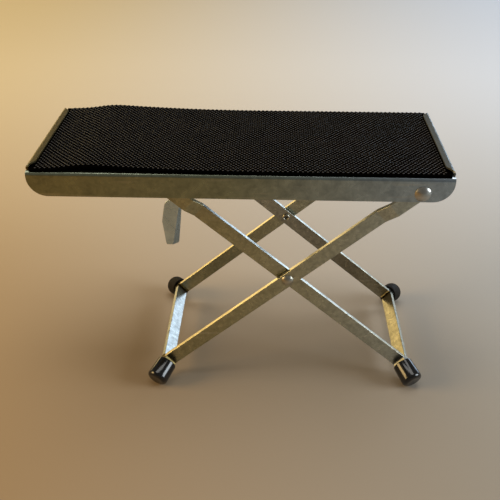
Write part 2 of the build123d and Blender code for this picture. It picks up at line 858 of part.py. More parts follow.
write_part("footplate_tray", footplate_tray())
write_part("rubber_mat", rubber_mat())
write_part("guide_rail_near", guide_rail(-1))
write_part("guide_rail_far", guide_rail(1))
write_part("rail_rivets", rail_rivets())
write_part("pivot_rivets", pivot_rivets())
write_part("pivot_washers", pivot_washers())
write_part("outer_leg", outer_leg())
write_part("inner_leg", inner_leg())
write_part("crossing_rivets", crossing_rivets())
write_part("crossing_washers", crossing_washers())
write_part("foot_caps_outer", foot_caps(-1, outer_leg_y, outer_joggle_offset))
write_part("foot_caps_inner", foot_caps(1, inner_leg_y, inner_joggle_offset))
write_part("cross_rod", cross_rod())
write_part("rod_push_nuts", rod_push_nuts())
write_part("rod_spacers_short", short_spacers())
write_part("rod_spacer_long", long_spacer())
write_part("slide_shoe_near", slide_shoe(-1))
write_part("slide_shoe_far", slide_shoe(1))
write_part("leaf_spring", leaf_spring())
write_part("leaf_spring_rivet", leaf_rivet())
write_part("release_lever", release_lever())

print("rod", rod_x, pivot_z, "crossing", crossing_x, crossing_z, "pivot", pivot_x, pivot_z)
print("highest angle", highest_angle, "folded angle", folded_angle, "footplate top", plate_top)
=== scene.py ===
"""Looks of a folding footrest for a guitar player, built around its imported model.

The frame gives every rigid piece. This script lays a studded rubber mat, rubber foot caps and domed
rivets in the places of their plain solids, rounds the edges of sheet and strip, and gives every
piece its finish. It then sets up a pale floor, soft lights and the camera.
"""
import logging
import math
from dataclasses import dataclass, replace
from enum import Enum, IntEnum

import bmesh
import bpy
from mathutils import Matrix, Vector


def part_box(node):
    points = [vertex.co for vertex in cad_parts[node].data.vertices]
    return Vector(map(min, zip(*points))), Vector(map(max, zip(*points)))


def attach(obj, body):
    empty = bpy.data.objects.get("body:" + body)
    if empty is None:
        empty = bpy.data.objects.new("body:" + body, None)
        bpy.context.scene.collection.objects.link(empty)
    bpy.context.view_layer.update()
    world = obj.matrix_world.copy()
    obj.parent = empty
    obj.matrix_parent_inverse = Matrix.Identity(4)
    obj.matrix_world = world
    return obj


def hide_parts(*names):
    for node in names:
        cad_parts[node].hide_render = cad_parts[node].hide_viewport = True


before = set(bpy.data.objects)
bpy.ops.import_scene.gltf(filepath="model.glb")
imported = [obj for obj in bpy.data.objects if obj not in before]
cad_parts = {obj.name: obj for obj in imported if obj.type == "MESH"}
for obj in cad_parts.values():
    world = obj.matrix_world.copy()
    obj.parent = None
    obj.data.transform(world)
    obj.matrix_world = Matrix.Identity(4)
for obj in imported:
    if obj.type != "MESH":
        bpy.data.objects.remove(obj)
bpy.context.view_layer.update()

log = logging.getLogger("footrest")

MM = 0.001
IMAGE_WIDTH = 500
WELD_DISTANCE = 0.002 * MM
SPIN_MERGE = 0.001 * MM
SHARP_ANGLE = math.radians(35)
FLAT_WEIGHT = 100
LEG_ANGLE = math.radians(40.5)

Colour = tuple[float, float, float]
Place = tuple[float, float, float]
Span = tuple[float, float]
Outline = list[tuple[float, float]]
Tree = bpy.types.NodeTree
Node = bpy.types.Node
Socket = bpy.types.NodeSocket
Shape = bmesh.types.BMesh
Material = bpy.types.Material
Piece = bpy.types.Object
Feed = Socket | float | Place


class Body(Enum):
    """Rigid bodies that carry new pieces."""

    FOOTPLATE = "footplate"
    OUTER_LEGS = "outer_legs"
    INNER_LEGS = "inner_legs"


class Side(Enum):
    """The two long sides of the footrest, by their sign along Y."""

    NEAR = -1
    FAR = 1


class Slot(IntEnum):
    """Places of the further finishes of a piece that has more than one."""

    ACCENT = 1
    CROSS_STRIP = 2
    EAR = 3


def put(socket: Socket, value: Feed) -> None:
    """Sets the value of an input, or links it to the socket that gives the value.

    Args:
        socket: The input.
        value: Its value, or the socket that gives it.
    """
    if isinstance(value, Socket):
        socket.id_data.links.new(value, socket)
    else:
        socket.default_value = value


def feed(node: Node, **inputs: Feed) -> Node:
    """Gives a node's inputs their values or links.

    Args:
        node: The node.
        **inputs: Values or sockets, with an underscore for each space in the input's name.

    Returns:
        The node.
    """
    for label, value in inputs.items():
        put(node.inputs[label.replace("_", " ")], value)
    return node


def add_node(tree: Tree, kind: str, **inputs: Feed) -> Node:
    """Adds a shader node of one kind to a tree, and feeds its inputs."""
    return feed(tree.nodes.new(f"ShaderNode{kind}"), **inputs)


def place_group(tree: Tree, group: Tree, **inputs: float) -> Node:
    """Places a shared group in a material.

    Args:
        tree: Node tree of the material.
        group: The shared group.
        **inputs: Input values, named as for feed.

    Returns:
        The group node.
    """
    node = add_node(tree, "Group")
    node.node_tree = group
    return feed(node, **inputs)


def object_place(tree: Tree) -> Socket:
    """Adds the place on the object, and gives its socket."""
    return add_node(tree, "TexCoord").outputs["Object"]


def calculate(
    tree: Tree, operation: str, first: Feed, second: Feed, kind: str = "Math", gives: str = "Value"
) -> Socket:
    """Works out one result of two values.

    Args:
        tree: Node tree that gets the node.
        operation: The operation.
        first: The first value, or its socket.
        second: The second value, or its socket.
        kind: Kind of the math node.
        gives: Name of the output.

    Returns:
        The socket of the result.
    """
    node = add_node(tree, kind)
    node.operation = operation
    put(node.inputs[0], first)
    put(node.inputs[1], second)
    return node.outputs[gives]


def map_range(
    tree: Tree, value: Socket, source: Span = (0.0, 1.0), target: Span = (0.0, 1.0), eased: bool = False
) -> Socket:
    """Maps a value from one span onto another.

    Args:
        tree: Node tree that gets the node.
        value: Socket of the value.
        source: Span of the value.
        target: Span of the result.
        eased: Whether the step starts and ends softly.

    Returns:
        The socket of the result.
    """
    node = add_node(tree, "MapRange", Value=value, From_Min=source[0], From_Max=source[1])
    node.interpolation_type = "SMOOTHSTEP" if eased else "LINEAR"
    return feed(node, To_Min=target[0], To_Max=target[1]).outputs["Result"]


def mix_colours(tree: Tree, share: Socket, low: Colour | Socket, high: Colour | Socket) -> Socket:
    """Blends two colours.

    Args:
        tree: Node tree that gets the node.
        share: Socket that gives the share of the second colour.
        low: First colour, or the socket that gives it.
        high: Second colour, or the socket that gives it.

    Returns:
        The socket of the blended colour.
    """
    node = add_node(tree, "Mix", Factor=share)
    node.data_type = "RGBA"
    for label, value in (("A", low), ("B", high)):
        socket = next(s for s in node.inputs if s.name == label and s.type == "RGBA")
        put(socket, value if isinstance(value, Socket) else (*value, 1.0))
    return next(s for s in node.outputs if s.type == "RGBA")


def new_material(name: str) -> tuple[Material, Tree, Node]:
    """Makes an empty node material.

    Args:
        name: Name of the material.

    Returns:
        The material, its node tree and its Principled shader.
    """
    material = bpy.data.materials.new(name)
    material.use_nodes = True
    tree = material.node_tree
    return material, tree, tree.nodes["Principled BSDF"]


def add_bump(tree: Tree, height: Socket, strength: float, depth: float) -> None:
    """Puts a bump, with its depth in metres, on a material's Principled shader."""
    bump = add_node(tree, "Bump", Strength=strength, Distance=depth, Height=height)
    feed(tree.nodes["Principled BSDF"], Normal=bump.outputs["Normal"])


@dataclass
class ShaderGroups:
    """Node groups for effects that several finishes share, each built once."""

    cloud_span: Span = (0.32, 0.68)
    cloud_detail: float = 6.0
    cloud_roughness: float = 0.66
    cloud_distortion: float = 0.5
    sharp_span: Span = (0.99, 0.86)
    edge_samples: int = 4
    break_span: Span = (0.35, 0.6)
    break_detail: float = 3.0
    grain_detail: float = 4.0
    streak_span: Span = (0.66, 0.74)
    streak_turns: tuple[Place, Place] = ((0.3, 0.55, 0.2), (0.1, -0.75, 0.9))
    streak_stretch: Place = (0.06, 1.0, 1.0)
    streak_detail: float = 2.0
    tint_span: Span = (-0.01, 0.16)
    drift_reach: float = 0.04
    drift_scale: float = 22.0

    def __post_init__(self) -> None:
        """Builds the groups."""
        self.mottle = self._mottle()
        self.edge_wear_and_highlight = self._edge_wear_and_highlight()
        self.fine_grain = self._fine_grain()
        self.scratches = self._scratches()
        self.painted_reflection_tint = self._painted_reflection_tint()

    @staticmethod
    def _start(name: str, inputs: dict[str, float], outputs: list[str]) -> Tree:
        """Makes a group with float inputs and outputs and its two end nodes.

        Args:
            name: Name of the group.
            inputs: Names of the inputs with their default values.
            outputs: Names of the outputs.

        Returns:
            The group's node tree.
        """
        tree = bpy.data.node_groups.new(name, "ShaderNodeTree")
        for label, value in inputs.items():
            socket = tree.interface.new_socket(label, in_out="INPUT", socket_type="NodeSocketFloat")
            socket.default_value = value
        for label in outputs:
            tree.interface.new_socket(label, in_out="OUTPUT", socket_type="NodeSocketFloat")
        tree.nodes.new("NodeGroupInput").name = "in"
        tree.nodes.new("NodeGroupOutput").name = "out"
        return tree

    def _mottle(self) -> Tree:
        """Cloudy blotches and small crystals of a plated surface.

        Returns:
            A group that puts out Clouds and Crystals, each from 0 to 1.
        """
        inputs = {"Cloud Scale": 60.0, "Crystal Scale": 400.0}
        tree = self._start("plating_mottle", inputs, ["Clouds", "Crystals"])
        given = tree.nodes["in"].outputs
        place = object_place(tree)
        clouds = add_node(tree, "TexNoise", Vector=place, Scale=given["Cloud Scale"])
        feed(clouds, Detail=self.cloud_detail, Roughness=self.cloud_roughness)
        feed(clouds, Distortion=self.cloud_distortion)
        crystals = add_node(tree, "TexVoronoi", Vector=place, Scale=given["Crystal Scale"])
        shade = add_node(tree, "SeparateColor", Color=crystals.outputs["Color"])
        spread = map_range(tree, clouds.outputs["Fac"], self.cloud_span)
        feed(tree.nodes["out"], Clouds=spread, Crystals=shade.outputs["Red"])
        return tree

    def _edge_wear_and_highlight(self) -> Tree:
        """Mask of the rubbed edges, broken up by noise; on the lever it paints a highlight along the crease
        and edges.

        Returns:
            A group that puts out Wear, from 0 to 1.
        """
        tree = self._start("edge_wear_and_highlight", {"Radius": 0.8 * MM, "Amount": 1.0, "Break Up": 220.0}, ["Wear"])
        given = tree.nodes["in"].outputs
        rounded = add_node(tree, "Bevel", Radius=given["Radius"])
        rounded.samples = self.edge_samples
        flat = add_node(tree, "NewGeometry").outputs["True Normal"]
        facing = calculate(tree, "DOT_PRODUCT", rounded.outputs["Normal"], flat, "VectorMath")
        sharp = map_range(tree, facing, self.sharp_span)
        place = object_place(tree)
        breaks = add_node(tree, "TexNoise", Vector=place, Scale=given["Break Up"], Detail=self.break_detail)
        broken = map_range(tree, breaks.outputs["Fac"], self.break_span)
        mask = calculate(tree, "MULTIPLY", sharp, broken)
        feed(tree.nodes["out"], Wear=calculate(tree, "MULTIPLY", mask, given["Amount"]))
        return tree

    def _fine_grain(self) -> Tree:
        """Fine moulded or rolled grain for bump.

        Returns:
            A group that puts out Height, from 0 to 1.
        """
        tree = self._start("fine_grain", {"Scale": 900.0, "Stretch": 1.0}, ["Height"])
        given = tree.nodes["in"].outputs
        stretch = add_node(tree, "CombineXYZ", X=given["Stretch"], Y=1.0, Z=1.0).outputs["Vector"]
        scaled = calculate(tree, "MULTIPLY", object_place(tree), stretch, "VectorMath", "Vector")
        grain = add_node(tree, "TexNoise", Vector=scaled, Scale=given["Scale"], Detail=self.grain_detail)
        feed(tree.nodes["out"], Height=grain.outputs["Fac"])
        return tree

    def _scratches(self) -> Tree:
        """Sparse hairline scratches in two directions.

        Returns:
            A group that puts out Lines, from 0 to 1.
        """
        tree = self._start("hairline_scratches", {"Scale": 260.0, "Amount": 1.0}, ["Lines"])
        given = tree.nodes["in"].outputs
        place = object_place(tree)
        layers = []
        for turn in self.streak_turns:
            lie = add_node(tree, "Mapping", Vector=place, Rotation=turn, Scale=self.streak_stretch)
            streaks = add_node(tree, "TexNoise", Scale=given["Scale"], Detail=self.streak_detail)
            feed(streaks, Vector=lie.outputs["Vector"])
            layers.append(map_range(tree, streaks.outputs["Fac"], self.streak_span))
        both = calculate(tree, "MAXIMUM", *layers)
        feed(tree.nodes["out"], Lines=calculate(tree, "MULTIPLY", both, given["Amount"]))
        return tree

    def _painted_reflection_tint(self) -> Tree:
        """Slow change of the plating's tint along the footrest, with ragged limits: a painted reflection of
        the warm light at the sliding end and the cool light at the pivot end.

        Returns:
            A group that puts out Tint, from 0 at the sliding end to 1 at the pivot end.
        """
        tree = self._start("painted_reflection_tint", {}, ["Tint"])
        place = object_place(tree)
        along = add_node(tree, "SeparateXYZ", Vector=place).outputs["X"]
        drift = add_node(tree, "TexNoise", Vector=place, Scale=self.drift_scale).outputs["Fac"]
        moved = calculate(tree, "ADD", along, calculate(tree, "MULTIPLY", drift, self.drift_reach))
        feed(tree.nodes["out"], Tint=map_range(tree, moved, self.tint_span, eased=True))
        return tree


@dataclass(frozen=True)
class PlatedFinish:
    """Zinc plating: cloudy, faintly crystalline, hairline scratched and rubbed bright at its edges.

    Its tint drifts from one end of the footrest to the other, a painted reflection of the warm light on the
    left and the cool light on the right, and its roughness goes from that of the dark blotches to that of
    the pale ones.
    """

    name: str
    start_tone: Colour
    end_tone: Colour
    worn_and_highlight: Colour
    contrast: float = 0.75
    rough: Span = (0.44, 0.28)
    cloud_scale: float = 60.0
    crystal_scale: float = 420.0
    crystal_share: float = 0.3
    grain_scale: float = 1400.0
    grain_stretch: float = 1.0
    wear_and_highlight_radius: float = 0.5 * MM
    wear_and_highlight_amount: float = 0.6
    scratch_share: float = 0.25
    bump: float = 0.05
    bump_depth: float = 0.2 * MM

    def build(self, groups: ShaderGroups) -> Material:
        """Builds the material.

        Args:
            groups: The shared shader groups.

        Returns:
            The material.
        """
        material, tree, shader = new_material(self.name)
        mottle = place_group(
            tree, groups.mottle, Cloud_Scale=self.cloud_scale, Crystal_Scale=self.crystal_scale
        ).outputs
        wear_and_highlight = place_group(tree, groups.edge_wear_and_highlight, Radius=self.wear_and_highlight_radius, Amount=self.wear_and_highlight_amount)
        grain = place_group(tree, groups.fine_grain, Scale=self.grain_scale, Stretch=self.grain_stretch)
        lines = place_group(tree, groups.scratches, Amount=self.scratch_share)
        # Painted reflection: the tone goes from the warm start tone to the cool end tone along the
        # footrest.
        tint = place_group(tree, groups.painted_reflection_tint).outputs["Tint"]
        mix = add_node(tree, "Mix", Factor=self.crystal_share, A=mottle["Clouds"], B=mottle["Crystals"])
        blotch = mix.outputs["Result"]
        dark_start = tuple(self.contrast * channel for channel in self.start_tone)
        dark_end = tuple(self.contrast * channel for channel in self.end_tone)
        dark = mix_colours(tree, tint, dark_start, dark_end)
        pale = mix_colours(tree, tint, self.start_tone, self.end_tone)
        tone = mix_colours(tree, blotch, dark, pale)
        scratched = mix_colours(tree, lines.outputs["Lines"], tone, self.worn_and_highlight)
        # Pale edges: rubbed wear, and on the lever a painted highlight.
        colour = mix_colours(tree, wear_and_highlight.outputs["Wear"], scratched, self.worn_and_highlight)
        rough = map_range(tree, blotch, target=self.rough)
        feed(shader, Base_Color=colour, Roughness=rough, Metallic=1.0)
        add_bump(tree, grain.outputs["Height"], self.bump, self.bump_depth)
        return material


@dataclass(frozen=True)
class RubberFinish:
    """Black rubber with a little bloom and dust on it."""

    name: str
    dark: Colour
    light: Colour
    rubbed: Colour
    rough: Span
    cloud_scale: float
    grain_scale: float
    bump: float
    bump_depth: float = 0.3 * MM
    specular: float = 0.5
    coat: float = 0.0
    coat_roughness: float = 0.1
    wear_and_highlight_radius: float = 0.4 * MM
    wear_and_highlight_amount: float = 0.3
    wear_break_up: float = 300.0

    def build(self, groups: ShaderGroups) -> Material:
        """Builds the material.

        Args:
            groups: The shared shader groups.

        Returns:
            The material.
        """
        material, tree, shader = new_material(self.name)
        clouds = place_group(tree, groups.mottle, Cloud_Scale=self.cloud_scale).outputs["Clouds"]
        wear_and_highlight = place_group(tree, groups.edge_wear_and_highlight, Radius=self.wear_and_highlight_radius, Amount=self.wear_and_highlight_amount)
        feed(wear_and_highlight, Break_Up=self.wear_break_up)
        grain = place_group(tree, groups.fine_grain, Scale=self.grain_scale)
        tone = mix_colours(tree, clouds, self.dark, self.light)
        feed(
            shader,
            Base_Color=mix_colours(tree, wear_and_highlight.outputs["Wear"], tone, self.rubbed),
            Roughness=map_range(tree, clouds, target=self.rough),
            Specular_IOR_Level=self.specular,
            Coat_Weight=self.coat,
            Coat_Roughness=self.coat_roughness,
        )
        add_bump(tree, grain.outputs["Height"], self.bump, self.bump_depth)
        return material


@dataclass(frozen=True)
class FloorFinish:
    """Pale paper under and behind the footrest, which pales away from the viewer; its darker front is a
    painted shadow.

    Its tint goes from warm on the left to neutral on the right, painted light of the warm lamp on the left
    and the cool window on the right.
    """

    name: str
    front_left: Colour
    front_right: Colour
    back_left: Colour
    back_right: Colour
    half_width: float = 0.55
    front: float = -0.22
    back: float = 0.75
    roughness: float = 0.9
    specular: float = 0.1
    grain_scale: float = 240.0
    bump: float = 0.05
    bump_depth: float = 0.3 * MM

    def build(self, groups: ShaderGroups) -> Material:
        """Builds the material.

        Args:
            groups: The shared shader groups.

        Returns:
            The material.
        """
        material, tree, shader = new_material(self.name)
        parts = add_node(tree, "SeparateXYZ", Vector=object_place(tree)).outputs
        across = map_range(tree, parts["X"], (-self.half_width, self.half_width), eased=True)
        away = map_range(tree, parts["Y"], (self.front, self.back), eased=True)
        front = mix_colours(tree, across, self.front_left, self.front_right)
        back = mix_colours(tree, across, self.back_left, self.back_right)
        colour = mix_colours(tree, away, front, back)
        feed(shader, Base_Color=colour, Roughness=self.roughness, Specular_IOR_Level=self.specular)
        grain = place_group(tree, groups.fine_grain, Scale=self.grain_scale)
        add_bump(tree, grain.outputs["Height"], self.bump, self.bump_depth)
        return material


# Each plated finish goes from its start tone at the sliding end to its end tone at the pivot end; where
# they differ, the change is a painted reflection of the warm light on the left and the cool light on the
# right.
SHEET = PlatedFinish(
    "zinc_plated_sheet",
    start_tone=(0.34, 0.38, 0.275),
    end_tone=(0.48, 0.57, 0.66),
    worn_and_highlight=(0.6, 0.58, 0.5),
    contrast=0.58,
    rough=(0.34, 0.25),
    cloud_scale=110.0,
    bump=0.03,
)
# Darker, duller plating of the tray's folded ends and the legs' ears; its olive-brown to grey change along
# the footrest is a painted reflection, as in the other plated finishes.
DARKER_PLATING = PlatedFinish(
    "darker_zinc_plating",
    start_tone=(0.18, 0.135, 0.052),
    end_tone=(0.23, 0.24, 0.225),
    worn_and_highlight=(0.4, 0.38, 0.3),
    contrast=0.6,
    rough=(0.52, 0.4),
    cloud_scale=140.0,
    wear_and_highlight_amount=0.2,
    bump=0.04,
)
STRIP = PlatedFinish(
    "zinc_plated_strip",
    start_tone=(0.5, 0.49, 0.32),
    end_tone=(0.6, 0.65, 0.61),
    worn_and_highlight=(0.7, 0.68, 0.6),
    contrast=0.56,
    rough=(0.36, 0.24),
    cloud_scale=190.0,
    crystal_scale=620.0,
    crystal_share=0.4,
    wear_and_highlight_amount=0.15,
    bump=0.025,
)
# Cross strips: pale grey on the left one and gold-brown on the right one, a painted reflection of the cool
# and the warm light.
CROSS_STRIP = replace(
    STRIP,
    name="cross_strip_painted_reflection",
    start_tone=(0.53, 0.55, 0.52),
    end_tone=(0.4, 0.37, 0.27),
    worn_and_highlight=(0.66, 0.64, 0.58),
    contrast=0.5,
    cloud_scale=260.0,
    crystal_share=0.3,
)
# Narrow sides of the arms: a painted highlight along the strip edges, gold where the warm light falls and
# grey-white where the cool light falls.
STRIP_EDGE_HIGHLIGHT = PlatedFinish(
    "strip_edge_painted_highlight",
    start_tone=(0.6, 0.52, 0.33),
    end_tone=(0.64, 0.65, 0.64),
    worn_and_highlight=(0.76, 0.73, 0.64),
    contrast=0.85,
    rough=(0.34, 0.24),
    crystal_share=0.05,
    wear_and_highlight_amount=0.0,
    scratch_share=0.1,
    bump=0.008,
)
BRIGHT = PlatedFinish(
    "bright_plated_hardware",
    start_tone=(0.6, 0.58, 0.52),
    end_tone=(0.6, 0.6, 0.58),
    worn_and_highlight=(0.75, 0.74, 0.7),
    contrast=0.85,
    rough=(0.2, 0.12),
    cloud_scale=160.0,
    crystal_scale=900.0,
    crystal_share=0.2,
)
DOME = PlatedFinish(
    "satin_plated_rivet",
    start_tone=(0.5, 0.47, 0.37),
    end_tone=(0.52, 0.51, 0.48),
    worn_and_highlight=(0.7, 0.69, 0.64),
    contrast=0.8,
    rough=(0.34, 0.26),
    cloud_scale=240.0,
    crystal_scale=900.0,
    crystal_share=0.15,
    wear_and_highlight_amount=0.2,
    bump=0.015,
)
# Lever: the bluish tone is a painted reflection of the cool light, and the wide, bright edge band is a
# painted highlight along its crease and edges.
LEVER = PlatedFinish(
    "zinc_plated_lever",
    start_tone=(0.62, 0.8, 0.96),
    end_tone=(0.62, 0.8, 0.96),
    worn_and_highlight=(0.9, 0.94, 0.98),
    contrast=0.72,
    rough=(0.3, 0.18),
    cloud_scale=130.0,
    crystal_scale=600.0,
    wear_and_highlight_radius=1.0 * MM,
    wear_and_highlight_amount=0.7,
)
SPRING = PlatedFinish(
    "spring_steel",
    start_tone=(0.36, 0.36, 0.37),
    end_tone=(0.36, 0.36, 0.37),
    worn_and_highlight=(0.55, 0.55, 0.55),
    crystal_scale=900.0,
    crystal_share=0.1,
    grain_stretch=12.0,
)
# Mat: the ground and the stud flanks take this darker finish with no sheen, a painted shade between the
# studs.
MAT = RubberFinish(
    "mat_rubber",
    dark=(0.0006, 0.0005, 0.0004),
    light=(0.0012, 0.001, 0.0008),
    rubbed=(0.003, 0.0026, 0.0022),
    rough=(0.6, 0.75),
    cloud_scale=40.0,
    grain_scale=1600.0,
    bump=0.1,
    specular=0.0,
)
# Stud crests: a paler, glossier copy of the mat rubber, a painted highlight on the stud tops.
STUD = replace(
    MAT,
    name="stud_crest_painted_highlight",
    dark=(0.009, 0.007, 0.005),
    light=(0.024, 0.018, 0.013),
    rubbed=(0.03, 0.025, 0.02),
    rough=(0.3, 0.4),
    bump=0.02,
    specular=0.3,
)
CAP = RubberFinish(
    "cap_rubber",
    dark=(0.003, 0.003, 0.0036),
    light=(0.007, 0.007, 0.008),
    rubbed=(0.03, 0.03, 0.032),
    rough=(0.14, 0.24),
    cloud_scale=120.0,
    grain_scale=900.0,
    bump=0.02,
    specular=0.3,
    coat=0.5,
    wear_and_highlight_amount=0.35,
)
# Open ends and the whole far cap: dull, lighter brown rubber; on the far cap it is a painted reflection of
# the pale floor behind.
CAP_RIM = RubberFinish(
    "cap_open_end",
    dark=(0.008, 0.0065, 0.0045),
    light=(0.016, 0.0135, 0.01),
    rubbed=(0.03, 0.027, 0.022),
    rough=(0.6, 0.8),
    cloud_scale=300.0,
    grain_scale=1200.0,
    bump=0.12,
    specular=0.12,
)
PLASTIC = RubberFinish(
    "shoe_plastic",
    dark=(0.02, 0.02, 0.021),
    light=(0.035, 0.035, 0.036),
    rubbed=(0.09, 0.09, 0.09),
    rough=(0.4, 0.52),
    cloud_scale=150.0,
    grain_scale=1500.0,
    bump=0.05,
)
# Floor colours: the dark front is a painted shadow, and the warm left and cool back right are painted warm
# and cool light.
FLOOR = FloorFinish(
    "pale_paper",
    front_left=(0.325, 0.175, 0.038),
    front_right=(0.27, 0.28, 0.27),
    back_left=(0.71, 0.555, 0.305),
    back_right=(0.71, 0.755, 0.84),
)


class Finishes:
    """All finishes of the footrest."""

    def __init__(self) -> None:
        """Builds every material."""
        groups = ShaderGroups()
        self.sheet = SHEET.build(groups)
        self.darker_plating = DARKER_PLATING.build(groups)
        self.strip = STRIP.build(groups)
        self.cross_strip = CROSS_STRIP.build(groups)
        self.strip_edge_highlight = STRIP_EDGE_HIGHLIGHT.build(groups)
        self.bright = BRIGHT.build(groups)
        self.dome = DOME.build(groups)
        self.lever = LEVER.build(groups)
        self.spring = SPRING.build(groups)
        self.mat = MAT.build(groups)
        self.stud = STUD.build(groups)
        self.cap = CAP.build(groups)
        self.cap_rim = CAP_RIM.build(groups)
        self.plastic = PLASTIC.build(groups)
        self.floor = FLOOR.build(groups)


def finish_object(name: str, shape: Shape, material: Material) -> Piece:
    """Turns a bmesh into an object at the origin with smooth faces.

    Args:
        name: Name of the piece.
        shape: The bmesh, which is freed.
        material: The finish of the piece.

    Returns:
        The object.
    """
    bmesh.ops.recalc_face_normals(shape, faces=shape.faces)
    for face in shape.faces:
        face.smooth = True
    mesh = bpy.data.meshes.new(name)
    shape.to_mesh(mesh)
    shape.free()
    mesh.materials.append(material)
    piece = bpy.data.objects.new(name, mesh)
    bpy.context.collection.objects.link(piece)
    return piece


def spun(shape: Shape, profile: Outline, steps: int) -> list[bmesh.types.BMVert]:
    """Spins a profile of radius and height about Z.

    Args:
        shape: The bmesh that gets the new faces.
        profile: Radius and height of each point, in metres, from axis to axis.
        steps: Number of steps round the axis.

    Returns:
        The new vertices.
    """
    before = set(shape.verts)
    line = [shape.verts.new((radius, 0.0, height)) for radius, height in profile]
    edges = [shape.edges.new(pair) for pair in zip(line, line[1:])]
    bmesh.ops.spin(
        shape,
        geom=line + edges,
        cent=(0, 0, 0),
        axis=(0, 0, 1),
        angle=math.tau,
        steps=steps,
        use_merge=True,
    )
    made = [vert for vert in shape.verts if vert not in before]
    bmesh.ops.remove_doubles(shape, verts=made, dist=SPIN_MERGE)
    return [vert for vert in shape.verts if vert not in before]


def arc_points(centre: Span, radius: float, start: float, end: float, steps: int) -> Outline:
    """Points on a round arc of a spun profile.

    Args:
        centre: Radius and height of the arc's centre.
        radius: Radius of the arc itself.
        start: First angle in degrees, from the outward direction.
        end: Last angle in degrees.
        steps: Number of steps along the arc.

    Returns:
        Radius and height of each point.
    """
    angles = [math.radians(start + (end - start) * step / steps) for step in range(steps + 1)]
    return [
        (centre[0] + radius * math.cos(angle), centre[1] + radius * math.sin(angle)) for angle in angles
    ]


def side_points(node: str, side: Side) -> list[Vector]:
    """Places of a carried-over node's vertices on one side of the footrest."""
    return [vert.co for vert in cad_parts[node].data.vertices if vert.co.y * side.value > 0]


def corners(points: list[Vector]) -> tuple[Vector, Vector]:
    """Low and high corner of the box round some points.

    Args:
        points: The points.

    Returns:
        The two corners.
    """
    low = Vector([min(point[k] for point in points) for k in range(3)])
    high = Vector([max(point[k] for point in points) for k in range(3)])
    return low, high


def join_facets(piece: Piece) -> None:
    """Merges the doubled corners of a carried-over piece and shades it smooth.

    Args:
        piece: The object.
    """
    piece.modifiers.new("merge", "WELD").merge_threshold = WELD_DISTANCE
    for face in piece.data.polygons:
        face.use_smooth = True


def keep_sharp(piece: Piece) -> None:
    """Keeps the sharp edges of a smooth piece sharp."""
    piece.modifiers.new("keep_sharp", "EDGE_SPLIT").split_angle = SHARP_ANGLE


def soften_edges(piece: Piece, width: float, segments: int = 2) -> None:
    """Rounds the sharp edges of a carried-over piece, and keeps its flat faces flat.

    Args:
        piece: The object.
        width: Width of the rounding, in metres.
        segments: Number of segments of the rounding.
    """
    join_facets(piece)
    bevel = piece.modifiers.new("round_edges", "BEVEL")
    bevel.width = width
    bevel.segments = segments
    bevel.limit_method = "ANGLE"
    bevel.angle_limit = SHARP_ANGLE
    bevel.use_clamp_overlap = True
    bevel.miter_outer = "MITER_ARC"
    flat = piece.modifiers.new("keep_flat", "WEIGHTED_NORMAL")
    flat.mode = "FACE_AREA"
    flat.weight = FLAT_WEIGHT


def smooth(piece: Piece) -> None:
    """Shades a finely faceted piece smooth, with its sharp edges kept."""
    join_facets(piece)
    keep_sharp(piece)


def dress(node: str, material: Material) -> Piece:
    """Gives a carried-over node its finish.

    Args:
        node: Name of the node.
        material: Its finish.

    Returns:
        The node's object.
    """
    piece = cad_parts[node]
    piece.data.materials.clear()
    piece.data.materials.append(material)
    log.info("dressed %s", node)
    return piece


